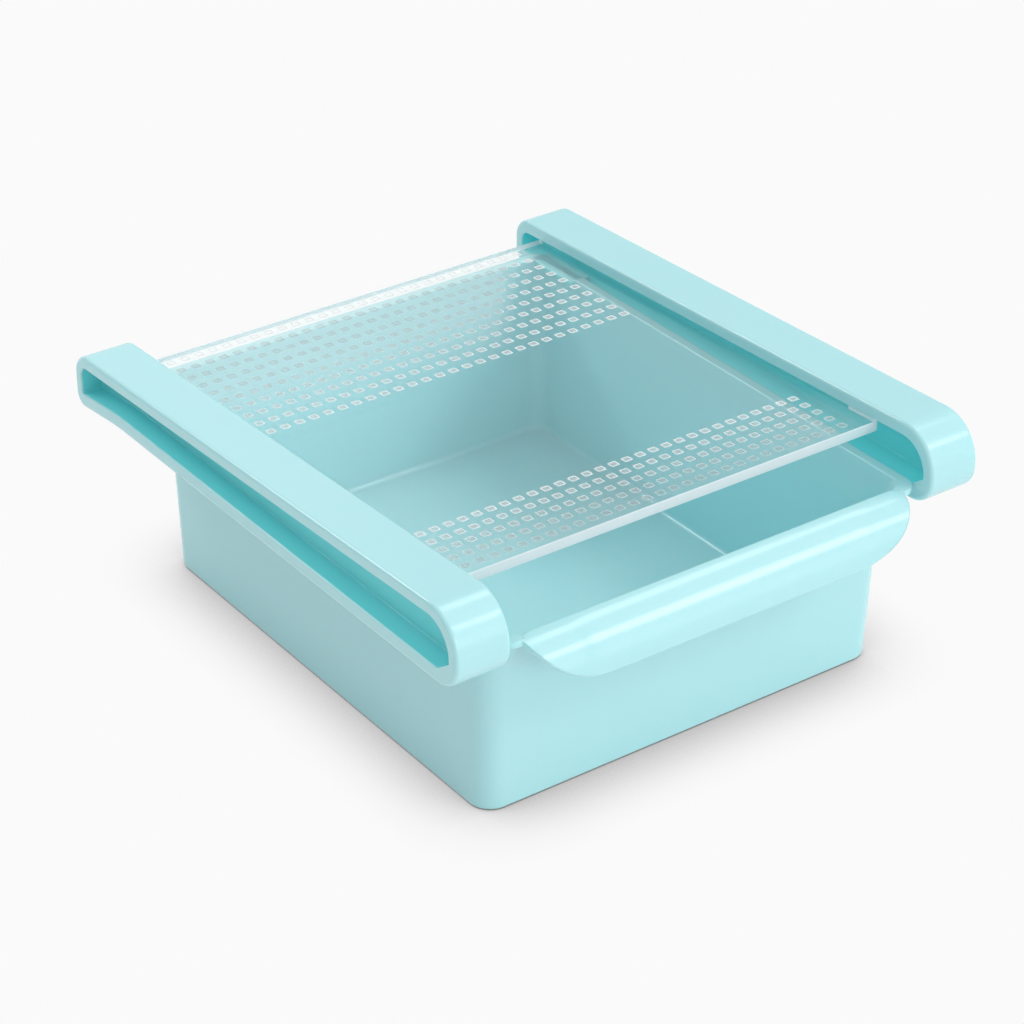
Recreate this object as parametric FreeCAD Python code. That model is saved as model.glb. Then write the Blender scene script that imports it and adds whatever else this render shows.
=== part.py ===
"""Fridge drawer organizer: a pull-out bin hung between two wedge-shaped rails on a clear panel.

Lengths are in millimetres. The organizer stands on the floor of its bin. The origin is the centre
of its outline on that floor, +Z is up, +X is to the right and the drawer pulls out along -Y.
"""
import FreeCAD, Part
import math
import os

Vector = FreeCAD.Vector

# ---- overall ----
overall_width = 165.0          # across the outer faces of the two rails
rail_length = 183.8            # front face to rear face of a rail

# ---- rails: a closed band round a thin web ----
rail_width = 16.0
rail_front_height = 21.5       # lower face to upper face at the front end
rail_rear_height = 14.1        # the same at the rear end, so the upper bar slopes
band_thickness = 3.4           # upper bar and both end walls
lower_bar_thickness = 4.2
panel_bar_thickness = 3.85     # upper bar above the panel, on the inner side of the web
web_thickness = 1.4
outer_pocket_depth = 6.4       # outer face of a rail to its web
front_top_radius = 12.0
front_bottom_radius = 8.0
rear_top_radius = 6.5
rear_bottom_radius = 4.0
heel_length = 22.0             # rear stretch of the lower bar that bends down
heel_drop = 2.2
heel_blend_radius = 90.0
rail_edge_radius = 1.2
pocket_cut_length = 5.0        # straight cut across the lower front corner of a pocket
pocket_cut_height = 3.6
pocket_corner_radius = 0.8
pocket_edge_chamfer = 0.35
ledge_clearance = 0.45         # bin wall to the ledge that carries the drawer flange
ledge_front_gap = 11.0         # front face of a rail to the start of its ledge
ledge_rear_gap = 10.0

# ---- clear panel, held under the upper bars ----
panel_thickness = 3.0
panel_engagement = 1.3         # how far each side edge reaches into a rail's pocket
panel_front_gap = 22.1         # front face of the rails to the panel's front edge
panel_length = 150.0
panel_corner_radius = 1.5
panel_edge_chamfer = 0.35

# ---- drawer bin ----
bin_height = 57.2              # floor to the top of the rim
bin_side_gap = 1.7             # inner face of a rail to the bin's side wall at the rim
bin_front_gap = 15.2           # front face of the rails to the foot of the bin's front wall
bin_base_length = 151.6
side_draft = 0.6               # degrees
front_draft = 2.9
rear_draft = 2.4
flare_start_height = 34.0      # above this the front wall leans out to its rim
front_rim_gap = 6.5            # front face of the rails to the inner edge of the front rim
wall_thickness = 1.9
floor_thickness = 2.0
bin_corner_radius = 6.5
bin_foot_radius = 1.2
floor_fillet_radius = 1.5
rim_edge_chamfer = 0.35        # inner edge of the rim

# ---- rim flange of the bin ----
flange_thickness = 1.8
flange_side_clearance = 0.3    # flange edge to the inner face of a rail
flange_slide_clearance = 0.2   # flange to the ledge below it
flange_front_gap = 3.7         # front face of the rails to the flange's front edge
flange_rear_reach = 1.4        # flange past the outside of the rear wall
flange_corner_radius = 5.0
flange_edge_radius = 0.6

# ---- rolled pull lip ----
lip_reach = 4.6                # how far the lip stands in front of the rails
lip_drop = 12.7                # rim to the lip's lower edge
lip_thickness = 1.8
lip_root_gap = 6.2             # front face of the rails to the crest of the quarter-round roll
lip_side_gap = 5.1             # flange edge to where the lip's cut side leaves the rim
lip_side_angle = 50.0          # degrees from level, seen from the front
lip_corner_radius = 24.0       # lower corners of the lip, seen from the front
lip_edge_radius = 0.7

# ---- stop lugs at the rear of the flange ----
lug_engagement = 1.9           # how far a lug reaches into a rail's pocket
lug_length = 20.0
lug_rear_gap = 2.0             # flange's rear edge to a lug
lug_edge_radius = 0.5

# ---- places that follow from the sizes ----
rail_front = -(rail_length - lip_reach) / 2
rail_rear = rail_front + rail_length
rail_outer_x = overall_width / 2
rail_inner_x = rail_outer_x - rail_width
flange_half_width = rail_inner_x - flange_side_clearance
flange_bottom = bin_height - flange_thickness
flange_front = rail_front + flange_front_gap
bin_front = rail_front + bin_front_gap
bin_rear = bin_front + bin_base_length
rear_wall_top = bin_rear + bin_height * math.tan(math.radians(rear_draft))
flange_rear = rear_wall_top + flange_rear_reach
ledge_top = flange_bottom - flange_slide_clearance
rail_bottom = ledge_top - lower_bar_thickness
rail_slope = math.atan((rail_front_height - rail_rear_height) / rail_length)
panel_half_width = rail_inner_x + panel_engagement
lip_half_width = flange_half_width - lip_side_gap
tolerance = 1e-3               # for finding edges by their place


def half_width_at(height):
    """Outer half width of the drafted bin at a height above its floor."""
    below_rim = bin_height - height
    return rail_inner_x - bin_side_gap - below_rim * math.tan(math.radians(side_draft))


def inset(points, distances):
    """Move the sides of a closed anticlockwise polygon inwards, each by its own distance."""
    moved = []
    for i, corner in enumerate(points):
        into = (corner - points[i - 1]).normalize()
        out = (points[(i + 1) % len(points)] - corner).normalize()
        turn = into.x * out.y - into.y * out.x
        moved.append(corner + (out * distances[i - 1] - into * distances[i]) / turn)
    return moved


def rounded_polygon(points, radii):
    """Closed wire of straight sides joined by tangent arcs, one radius for each corner."""
    arcs = []
    for i, corner in enumerate(points):
        back = (points[i - 1] - corner).normalize()
        ahead = (points[(i + 1) % len(points)] - corner).normalize()
        half_angle = back.getAngle(ahead) / 2
        reach = radii[i] / math.tan(half_angle)
        centre_way = (back + ahead).normalize()
        middle = corner + centre_way * (radii[i] / math.sin(half_angle) - radii[i])
        arcs.append((corner + back * reach, middle, corner + ahead * reach))
    edges = []
    for i, (start, middle, end) in enumerate(arcs):
        edges.append(Part.Arc(start, middle, end).toShape())
        next_start = arcs[(i + 1) % len(arcs)][0]
        if end.distanceToPoint(next_start) > tolerance:
            edges.append(Part.LineSegment(end, next_start).toShape())
    return Part.Wire(edges)


def extrude_side_view(wire, x_from, x_to):
    """Prism along X of an outline drawn with Y to the right and Z up."""
    solid = Part.Face(wire).extrude(Vector(0, 0, x_to - x_from))
    solid.rotate(Vector(0, 0, 0), Vector(1, 1, 1), 120)
    solid.translate(Vector(x_from, 0, 0))
    return solid


def box(x_from, x_to, y_from, y_to, z_from, z_to):
    corner = Vector(x_from, y_from, z_from)
    return Part.makeBox(x_to - x_from, y_to - y_from, z_to - z_from, corner)


def rounded_plate(x_half, y_from, y_to, z_from, z_to, radius):
    """Flat plate about the middle plane, with its four upright corners rounded."""
    plate = box(-x_half, x_half, y_from, y_to, z_from, z_to)
    upright = [e for e in plate.Edges if abs(e.tangentAt(e.FirstParameter).z) > 0.99]
    return plate.makeFillet(radius, upright)


def edges_at_x(shape, x):
    """Edges that lie wholly in the plane of one X."""
    found = []
    for edge in shape.Edges:
        span = edge.BoundBox
        if abs(span.XMin - x) < tolerance and abs(span.XMax - x) < tolerance:
            found.append(edge)
    return found


def middle_of(edge):
    return edge.valueAt((edge.FirstParameter + edge.LastParameter) / 2)


def near(outline, point):
    """True for a point on an outline."""
    return outline.distToShape(Part.Vertex(point))[0] < tolerance


# ---- rails ----
def rail_side_points():
    """Corners of a rail seen from the side, anticlockwise from the lower front."""
    top_front = rail_bottom + rail_front_height
    top_rear = rail_bottom + rail_rear_height
    return [
        Vector(rail_front, rail_bottom, 0),
        Vector(rail_rear - heel_length, rail_bottom, 0),
        Vector(rail_rear, rail_bottom - heel_drop, 0),
        Vector(rail_rear, top_rear, 0),
        Vector(rail_front, top_front, 0),
    ]


def rail_outline():
    """Side outline of a rail."""
    radii = [front_bottom_radius, heel_blend_radius, rear_bottom_radius,
             rear_top_radius, front_top_radius]
    return rounded_polygon(rail_side_points(), radii)


def pocket_outline(top_bar):
    """Side outline of a pocket: the rail's, inset, with a straight cut at the lower front."""
    lower_bar = lower_bar_thickness
    bars = [lower_bar, lower_bar, band_thickness, top_bar, band_thickness]
    front, heel, rear, rear_top, front_top = inset(rail_side_points(), bars)
    cut_floor = front + Vector(pocket_cut_length, 0, 0)
    cut_wall = front + Vector(0, pocket_cut_height, 0)
    radii = [pocket_corner_radius, pocket_corner_radius, heel_blend_radius + lower_bar_thickness,
             pocket_corner_radius, rear_top_radius - band_thickness,
             front_top_radius - band_thickness]
    return rounded_polygon([cut_wall, cut_floor, heel, rear, rear_top, front_top], radii)


def make_right_rail():
    body = extrude_side_view(rail_outline(), rail_inner_x, rail_outer_x)
    rim = edges_at_x(body, rail_inner_x) + edges_at_x(body, rail_outer_x)
    body = body.makeFillet(rail_edge_radius, rim)
    web_outer = rail_outer_x - outer_pocket_depth
    web_inner = web_outer - web_thickness
    inner_pocket = pocket_outline(panel_bar_thickness)
    outer_pocket = pocket_outline(band_thickness)
    for pocket, face_x, web_x in ((inner_pocket, rail_inner_x, web_inner),
                                  (outer_pocket, rail_outer_x, web_outer)):
        beyond = 2 * face_x - (web_inner + web_outer) / 2
        body = body.cut(extrude_side_view(pocket, min(web_x, beyond), max(web_x, beyond)))
        mouth = [e for e in edges_at_x(body, face_x) if lies_on(e, pocket)]
        body = body.makeChamfer(pocket_edge_chamfer, mouth)
    return body.fuse(make_ledge()).removeSplitter()


def lies_on(edge, side_outline):
    """True for an edge whose middle lies on an outline of the side view."""
    middle = middle_of(edge)
    return near(side_outline, Vector(middle.y, middle.z, 0))


def make_ledge():
    """Strip along the lower bar that stands inwards under the bin's flange."""
    ledge_x = half_width_at(ledge_top) + ledge_clearance
    root_x = rail_inner_x + rail_edge_radius
    band = extrude_side_view(rail_outline(), ledge_x, root_x)
    pocket = pocket_outline(band_thickness)
    band = band.cut(extrude_side_view(pocket, 0, rail_outer_x))
    reach = box(ledge_x, root_x, rail_front + ledge_front_gap, rail_rear - ledge_rear_gap,
                rail_bottom - heel_drop, ledge_top)
    return band.common(reach)


# ---- clear panel ----
def make_panel():
    """Flat panel whose top lies against the sloping undersides of the upper bars."""
    front = rail_front + panel_front_gap
    panel = rounded_plate(panel_half_width, front, front + panel_length,
                          -panel_thickness, 0, panel_corner_radius)
    flat_edges = [e for e in panel.Edges if e.BoundBox.ZLength < tolerance]
    panel = panel.makeChamfer(panel_edge_chamfer, flat_edges)
    ceiling = rail_bottom + rail_front_height - panel_bar_thickness / math.cos(rail_slope)
    panel.rotate(Vector(0, rail_front, 0), Vector(1, 0, 0), -math.degrees(rail_slope))
    panel.translate(Vector(0, 0, ceiling))
    return panel


# ---- drawer bin ----
def bin_side_outline(wall, bottom, above):
    """Side outline of the bin, inset by a wall: drafted ends and a front that flares out."""
    top = bin_height + above
    front_lean = math.tan(math.radians(front_draft))
    rear_lean = math.tan(math.radians(rear_draft))
    foot = bin_front + wall
    heel = bin_rear - wall
    flare_start = Vector(foot - flare_start_height * front_lean, flare_start_height, 0)
    rim = Vector(rail_front + front_rim_gap - wall_thickness + wall, bin_height, 0)
    chord = rim - flare_start
    to_centre = Vector(-1, -front_lean, 0).normalize()
    radius = chord.dot(chord) / (2 * chord.dot(to_centre))
    centre = flare_start + to_centre * radius
    front_top = Vector(centre.x + math.sqrt(radius ** 2 - (top - centre.y) ** 2), top, 0)
    halfway = ((flare_start + front_top) / 2 - centre).normalize()
    arc = Part.Arc(flare_start, centre + halfway * radius, front_top)
    points = [flare_start,
              Vector(foot - bottom * front_lean, bottom, 0),
              Vector(heel + bottom * rear_lean, bottom, 0),
              Vector(heel + top * rear_lean, top, 0),
              front_top]
    edges = [Part.LineSegment(a, b).toShape() for a, b in zip(points, points[1:])]
    return Part.Wire(edges + [arc.toShape()])


def bin_block(wall, bottom, above):
    """The bin's outside, inset by a wall, from one height to so far above the rim."""
    side_view = bin_side_outline(wall, bottom, above)
    prism = extrude_side_view(side_view, -rail_outer_x, rail_outer_x)
    top = bin_height + above
    low = half_width_at(bottom) - wall
    high = half_width_at(top) - wall
    ahead = rail_front - rail_length
    corners = [Vector(-low, ahead, bottom), Vector(low, ahead, bottom),
               Vector(high, ahead, top), Vector(-high, ahead, top)]
    drafted = Part.Face(Part.makePolygon(corners + corners[:1])).extrude(Vector(0, 3 * rail_length, 0))
    block = prism.common(drafted)
    upright = [e for e in block.Edges if e.BoundBox.ZLength > tolerance]
    return block.makeFillet(bin_corner_radius - wall, upright)


def edges_at_height(shape, height):
    """Edges that lie wholly in one level plane."""
    found = []
    for edge in shape.Edges:
        span = edge.BoundBox
        if abs(span.ZMin - height) < tolerance and abs(span.ZMax - height) < tolerance:
            found.append(edge)
    return found


def make_lip_sheet():
    """The lip before it is cut: a quarter-round roll that runs on straight down."""
    crest_y = rail_front + lip_root_gap
    roll_radius = lip_root_gap + lip_reach
    roll_z = bin_height - roll_radius
    hem_z = bin_height - lip_drop - lip_thickness

    def quarter(radius):
        """Three points of a quarter circle, from the crest to the level of its centre."""
        angles = (0, math.pi / 4, math.pi / 2)
        return [Vector(-lip_half_width, crest_y - radius * math.sin(a), roll_z + radius * math.cos(a))
                for a in angles]

    outside = quarter(roll_radius)
    inside = quarter(roll_radius - lip_thickness)
    path = [outside[-1], Vector(outside[-1].x, outside[-1].y, hem_z),
            Vector(inside[-1].x, inside[-1].y, hem_z), inside[-1]]
    edges = [Part.LineSegment(a, b).toShape() for a, b in zip(path, path[1:])]
    edges.append(Part.Arc(*inside).toShape())
    edges.append(Part.LineSegment(inside[0], outside[0]).toShape())
    edges.append(Part.Arc(*outside).toShape())
    return Part.Face(Part.Wire(edges)).extrude(Vector(2 * lip_half_width, 0, 0))


def lip_front_outline():
    """Front view of the lip: slanting sides and large lower corners, run on above the rim."""
    run_in = lip_drop / math.tan(math.radians(lip_side_angle))
    low = bin_height - lip_drop
    high = bin_height + lip_drop
    narrow = lip_half_width - run_in
    wide = lip_half_width + run_in
    corners = [Vector(-narrow, low, 0), Vector(narrow, low, 0),
               Vector(wide, high, 0), Vector(-wide, high, 0)]
    radii = [lip_corner_radius, lip_corner_radius, lip_thickness, lip_thickness]
    return rounded_polygon(corners, radii)


def make_lip():
    """Pull lip: the rolled sheet, cut to its front view, with both long edges rounded."""
    outline = lip_front_outline()
    cutter = Part.Face(outline).extrude(Vector(0, 0, 2 * rail_length))
    cutter.rotate(Vector(0, 0, 0), Vector(1, 0, 0), 90)
    cutter.translate(Vector(0, rail_rear, 0))
    lip = make_lip_sheet().common(cutter)
    ahead_of_root = rail_front + lip_root_gap - tolerance
    cut_edges = []
    for edge in lip.Edges:
        middle = middle_of(edge)
        on_cut = near(outline, Vector(middle.x, middle.z, 0))
        if on_cut and edge.BoundBox.YMin < ahead_of_root:
            cut_edges.append(edge)
    return lip.makeFillet(lip_edge_radius, cut_edges)


def make_lug(side):
    """Stop lug on the flange that rides in a rail's pocket and meets its front wall."""
    x_in = flange_half_width - flange_corner_radius
    x_out = rail_inner_x + lug_engagement
    y_to = flange_rear - lug_rear_gap
    lug = box(x_in, x_out, y_to - lug_length, y_to, flange_bottom, bin_height)
    lug = lug.makeFillet(lug_edge_radius, edges_at_x(lug, x_out))
    if side < 0:
        lug = lug.mirror(Vector(0, 0, 0), Vector(1, 0, 0))
    return lug


def make_flange():
    """Rim flange, left open in front of the bin where the rolled lip takes its place."""
    flange = rounded_plate(flange_half_width, flange_front, flange_rear,
                           flange_bottom, bin_height, flange_corner_radius)
    flange = flange.makeFillet(flange_edge_radius, edges_at_height(flange, bin_height))
    side = lip_half_width - flange_thickness / math.tan(math.radians(lip_side_angle))
    lip_place = box(-side, side, rail_front, rail_front + lip_root_gap,
                    flange_bottom - flange_thickness, bin_height + flange_thickness)
    return flange.cut(lip_place)


def make_bin():
    outside = bin_block(0, 0, 0)
    outside = outside.makeFillet(bin_foot_radius, edges_at_height(outside, 0))
    cavity = bin_block(wall_thickness, floor_thickness, wall_thickness)
    cavity = cavity.makeFillet(floor_fillet_radius, edges_at_height(cavity, floor_thickness))
    body = outside.fuse([make_flange(), make_lip(), make_lug(-1), make_lug(1)])
    body = body.cut(cavity).removeSplitter()
    mouth = cavity.slice(Vector(0, 0, 1), bin_height)[0]
    rim = [e for e in edges_at_height(body, bin_height) if near(mouth, middle_of(e))]
    return body.makeChamfer(rim_edge_chamfer, rim)


os.makedirs("parts", exist_ok=True)
right_rail = make_right_rail()
pieces = {
    "drawer_bin": make_bin(),
    "right_rail": right_rail,
    "left_rail": right_rail.mirror(Vector(0, 0, 0), Vector(1, 0, 0)),
    "shelf_panel": make_panel(),
}
for name, shape in pieces.items():
    print(name, "solids", len(shape.Solids), "valid", shape.isValid(), "volume", round(shape.Volume))
    shape.exportStep(os.path.join("parts", name + ".step"))
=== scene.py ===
# %% [markdown]
# # Fridge drawer organizer
# A teal bin slides between two teal rails, and a clear panel with frosted bands lies over it.
# The CAD model gives the sizes and the motion. This lesson gives it moulded surfaces, materials,
# light and a camera. Shapes are computed as whole arrays in millimetres, then scaled to metres.

# %% Load the frame
import math
import bpy
import numpy as np
from mathutils import Matrix, Vector


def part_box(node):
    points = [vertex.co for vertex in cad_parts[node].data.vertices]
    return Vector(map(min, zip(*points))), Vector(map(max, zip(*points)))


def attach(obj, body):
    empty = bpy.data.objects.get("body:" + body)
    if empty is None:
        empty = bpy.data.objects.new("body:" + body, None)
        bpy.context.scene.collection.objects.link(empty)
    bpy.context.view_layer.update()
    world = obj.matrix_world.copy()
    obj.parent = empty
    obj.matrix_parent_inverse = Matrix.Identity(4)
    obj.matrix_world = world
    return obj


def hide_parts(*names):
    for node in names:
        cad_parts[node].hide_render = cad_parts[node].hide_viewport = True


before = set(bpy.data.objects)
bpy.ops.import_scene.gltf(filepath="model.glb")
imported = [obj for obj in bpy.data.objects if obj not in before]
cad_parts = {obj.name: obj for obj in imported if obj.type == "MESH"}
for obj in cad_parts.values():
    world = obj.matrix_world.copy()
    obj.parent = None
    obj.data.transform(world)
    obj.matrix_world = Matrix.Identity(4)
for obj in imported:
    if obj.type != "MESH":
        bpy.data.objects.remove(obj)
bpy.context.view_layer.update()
MM = 0.001

# %% [markdown]
# ## Sizes
# The place and length of the rails and the width of the bin's lugs are measured on the CAD nodes,
# so the looks follow them if they change. The rest are the small sizes of a moulding: walls,
# corners and edge radii, in the same frame as the CAD model.

# %% Sizes of the rails in millimetres
def node_box(node):
    """Lowest and highest corner of a CAD node."""
    low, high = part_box(node)
    return np.array(low) / MM, np.array(high) / MM


rail_low, rail_high = node_box("right_rail")
bin_high = node_box("drawer_bin")[1]

RAIL_WIDTH = 16.0
RAIL_OUTER = rail_high[0]
RAIL_INNER = RAIL_OUTER - RAIL_WIDTH
RAIL_FRONT, RAIL_REAR = rail_low[1], rail_high[1]
RAIL_BOTTOM = 51.0
RAIL_FRONT_HEIGHT, RAIL_REAR_HEIGHT = 21.5, 14.1
HEEL_LENGTH, HEEL_DROP = 22.0, 2.2
SLOPE = (RAIL_FRONT_HEIGHT - RAIL_REAR_HEIGHT) / (RAIL_REAR - RAIL_FRONT)
print("rail from y", round(RAIL_FRONT, 2), "to", round(RAIL_REAR, 2), "slope", round(SLOPE, 4))

# %% [markdown]
# ## Outlines
# A moulded piece has rounded corners everywhere. A bevel on a box could round them, but the
# roundings of neighbouring faces would not line up. So every moulding here is a stack of closed
# outlines. An outline is a polygon whose corners are tangent arcs, always sampled with the same
# number of points, and neighbouring outlines are joined point by point into a surface.

# %% Sample a rounded polygon
def unit(vector):
    return vector / np.linalg.norm(vector)


def rounded_outline(corners, radii, arc_steps, side_steps, front_spacing=None):
    """Points and outward normals of an anticlockwise polygon with tangent arcs at its corners.

    An arc of radius r starts r * tan(turn / 2) before its corner. Side k is cut into
    side_steps[k] equal parts; side 0 may have its own spacing, a rising list from 0 to 1.
    """
    corners = np.asarray(corners, float)
    count = len(corners)
    arcs, normals = [], []
    for k in range(count):
        into = unit(corners[k] - corners[k - 1])
        out = unit(corners[(k + 1) % count] - corners[k])
        turn = math.atan2(into[0] * out[1] - into[1] * out[0], into @ out)
        sign = 1.0 if turn > 0 else -1.0
        start = corners[k] - into * radii[k] * math.tan(abs(turn) / 2)
        angles = math.atan2(-into[0], into[1]) + turn * np.linspace(0, 1, arc_steps[k] + 1)
        normal = np.stack([np.cos(angles), np.sin(angles)], 1)
        centre = start - sign * radii[k] * normal[0]
        arcs.append(centre + sign * radii[k] * normal)
        normals.append(normal)
    points, outward = [], []
    for k in range(count):
        share = np.linspace(0, 1, side_steps[k] + 1)
        if k == 0 and front_spacing is not None:
            share = np.asarray(front_spacing)
        share = share[1:-1, None]
        following = arcs[(k + 1) % count][0]
        points += [arcs[k], arcs[k][-1] * (1 - share) + following * share]
        outward += [normals[k], np.repeat(normals[k][-1:], len(share), 0)]
    return np.concatenate(points), np.concatenate(outward)


sample, _ = rounded_outline([(-1, -1), (1, -1), (1, 1), (-1, 1)], [0.5] * 4, [4] * 4, [2] * 4)
print("a rounded square of", len(sample), "points spans", sample.min(0), "to", sample.max(0))

# %% [markdown]
# ## From rings to a mesh
# A stack of rings becomes a closed mesh: quads between neighbouring rings and one flat face over
# each end. Smooth shading needs care where a flat meets a rounding, so each flat has an extra
# ring close to its edge. The signed volume tells whether the faces look outwards.

# %% Build a closed mesh from a stack of rings
def signed_volume(points, faces):
    """Sum of a . (b x c) / 6 over a fan of triangles on every face."""
    fans = np.array([(face[0], face[k], face[k + 1])
                     for face in faces for k in range(1, len(face) - 1)])
    a, b, c = points[fans[:, 0]], points[fans[:, 1]], points[fans[:, 2]]
    return np.sum(a * np.cross(b, c)) / 6


def outward_faces(points, faces):
    """The same faces, turned round if they enclose a negative volume."""
    return [face[::-1] for face in faces] if signed_volume(points, faces) < 0 else faces


def quads_between(lower, upper, around):
    """Quads from each point and its neighbour on a lower ring up to the ring above."""
    here = np.arange(around)[None, :]
    following = (here + 1) % around
    quads = np.stack([lower + here, lower + following, upper + following, upper + here], -1)
    return [tuple(quad) for quad in quads.reshape(-1, 4).tolist()]


def stack_mesh(rings):
    """Points and faces of a tube of rings, closed by a flat face at each end."""
    rings = np.asarray(rings, float)
    count, around = rings.shape[:2]
    first = np.arange(count - 1)[:, None] * around
    faces = quads_between(first, first + around, around)
    faces.append(tuple(range(around - 1, -1, -1)))
    faces.append(tuple(range((count - 1) * around, count * around)))
    points = rings.reshape(-1, 3)
    return points, outward_faces(points, faces)


def join(*parts):
    """Several closed meshes as one list of points and faces."""
    points, faces, shift = [], [], 0
    for part_points, part_faces in parts:
        points.append(part_points)
        faces += [tuple(index + shift for index in face) for face in part_faces]
        shift += len(part_points)
    return np.concatenate(points), faces


def mirrored(part):
    """The part with x turned to -x, and its faces turned so that they still look outwards."""
    points, faces = part
    return points * [-1, 1, 1], [face[::-1] for face in faces]


def bevelled_box(low, high, edge):
    """Box whose twelve edges are cut at 45 degrees: four rings, the outer two drawn in."""
    low, high = np.array(low, float), np.array(high, float)
    rings = []
    for z, back in ((low[2], edge), (low[2] + edge, 0), (high[2] - edge, 0), (high[2], edge)):
        x0, y0 = low[:2] + back
        x1, y1 = high[:2] - back
        ring = [(x0 + edge, y0), (x1 - edge, y0), (x1, y0 + edge), (x1, y1 - edge),
                (x1 - edge, y1), (x0 + edge, y1), (x0, y1 - edge), (x0, y0 + edge)]
        rings.append([(x, y, z) for x, y in ring])
    return stack_mesh(rings)


cube_points, cube_faces = bevelled_box((0, 0, 0), (1, 1, 1), 0.1)
print("a cut cube has", len(cube_faces), "faces, volume", signed_volume(cube_points, cube_faces))


# %% Put a mesh in the scene
def make_object(name, part, material, smooth_angle=40, depth=None):
    """Object at the origin with its place in its mesh; depth fills the attribute of painted shade
    and glow.
    """
    points, faces = part
    mesh = bpy.data.meshes.new(name)
    mesh.from_pydata((points * MM).tolist(), [], faces)
    mesh.materials.append(material)
    if depth is not None:
        painted_shade = mesh.attributes.new("painted_shade", "FLOAT", "POINT")
        painted_shade.data.foreach_set("value", np.asarray(depth, np.float32))
    mesh.update()
    mesh.shade_smooth()
    mesh.set_sharp_from_angle(angle=math.radians(smooth_angle))
    obj = bpy.data.objects.new(name, mesh)
    bpy.context.scene.collection.objects.link(obj)
    print(name, "has", len(points), "points and", len(faces), "faces")
    return obj


# %% [markdown]
# ## Fine mottle
# No moulding is quite even: its tone drifts a little and its gloss is broken by a fine grain. An
# image could carry that, but noise needs no unwrapping and never repeats. All the materials use
# it, each at its own scale, so it is one node group: noise on the object's own coordinates,
# stretched from a low and a high value to the range from 0 to 1.

# %% Node helpers
def new_material(name):
    """A material, its node tree and its shader."""
    material = bpy.data.materials.new(name)
    material.use_nodes = True
    tree = material.node_tree
    return material, tree, tree.nodes["Principled BSDF"]


def new_group(name, inputs, output):
    """Start a node group with named number inputs and one named number output."""
    group = bpy.data.node_groups.new(name, "ShaderNodeTree")
    for label, value in inputs.items():
        socket = group.interface.new_socket(label, in_out="INPUT", socket_type="NodeSocketFloat")
        socket.default_value = value
    group.interface.new_socket(output, in_out="OUTPUT", socket_type="NodeSocketFloat")
    print("group", name, "takes", list(inputs), "and gives", output)
    return group, group.nodes.new("NodeGroupInput"), group.nodes.new("NodeGroupOutput")


def place_group(tree, group, values):
    """Put a group in a material with its own values, and return its output."""
    node = tree.nodes.new("ShaderNodeGroup")
    node.node_tree = group
    for label, value in values.items():
        node.inputs[label].default_value = value
    return node.outputs[0]


def between(tree, factor, low, high, from_low=0.0, from_high=1.0):
    """Map a value from one range to another in a straight line, held at both ends."""
    node = tree.nodes.new("ShaderNodeMapRange")
    node.inputs["From Min"].default_value = from_low
    node.inputs["From Max"].default_value = from_high
    node.inputs["To Min"].default_value = low
    node.inputs["To Max"].default_value = high
    tree.links.new(factor, node.inputs["Value"])
    return node.outputs["Result"]


def blend_colours(tree, factor, first, second):
    """first * (1 - factor) + second * factor; the colours are triples or outputs of nodes."""
    node = tree.nodes.new("ShaderNodeMix")
    node.data_type = "RGBA"
    for label, colour in (("A", first), ("B", second)):
        if isinstance(colour, tuple):
            node.inputs[label].default_value = (*colour, 1)
        else:
            tree.links.new(colour, node.inputs[label])
    tree.links.new(factor, node.inputs["Factor"])
    return node.outputs["Result"]


def combine(tree, operation, first, second):
    """Two values, each a number or the output of a node, through a math node."""
    node = tree.nodes.new("ShaderNodeMath")
    node.operation = operation
    for socket, value in zip(node.inputs, (first, second)):
        if isinstance(value, float):
            socket.default_value = value
        else:
            tree.links.new(value, socket)
    return node.outputs["Value"]


# %% The mottle group
mottle, given, result = new_group("mottle", {"Scale": 300.0, "Detail": 2.0, "Low": 0.1,
                                             "High": 0.9}, "Mottle")
place = mottle.nodes.new("ShaderNodeTexCoord")
texture = mottle.nodes.new("ShaderNodeTexNoise")
texture.inputs["Roughness"].default_value = 0.5
spread = mottle.nodes.new("ShaderNodeMapRange")
for source, target in ((place.outputs["Object"], texture.inputs["Vector"]),
                       (given.outputs["Scale"], texture.inputs["Scale"]),
                       (given.outputs["Detail"], texture.inputs["Detail"]),
                       (texture.outputs["Fac"], spread.inputs["Value"]),
                       (given.outputs["Low"], spread.inputs["From Min"]),
                       (given.outputs["High"], spread.inputs["From Max"]),
                       (spread.outputs["Result"], result.inputs["Mottle"])):
    mottle.links.new(source, target)


def mottled(tree, scale, detail, low=0.1, high=0.9):
    """The mottle at one scale, in cycles per metre, as a value from 0 to 1."""
    values = {"Scale": scale, "Detail": detail, "Low": low, "High": high}
    return place_group(tree, mottle, values)


# %% [markdown]
# ## Teal plastic
# The bin and rails are one glossy, slightly translucent teal plastic. Light that enters a narrow
# channel meets the plastic several times, so the channels look deeper and greener than the open
# faces. Many bounces in a translucent solid could show it, but slowly and with grain. Instead the
# shade is painted: the mesh carries an attribute of painted shade that mixes in a deeper tone, 1
# in the outer channels and 2 in the inner ones, which also get a faint painted glow for the light
# that comes through the thin web.

# %% Teal plastic
# The open faces' tone and the channels' painted shade tone, each drifting at random; then no glow,
# and the painted glow of the inner channels.
LIT_TONE = (0.440, 0.782, 0.818), (0.448, 0.790, 0.826)
PAINTED_SHADE_TONE = (0.216, 0.786, 0.816), (0.224, 0.794, 0.824)
NO_GLOW, PAINTED_WEB_GLOW = (0.0, 0.0, 0.0), (0.0, 0.042, 0.043)
BUMP_STRENGTH, BUMP_HEIGHT = 0.02, 0.0002

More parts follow.
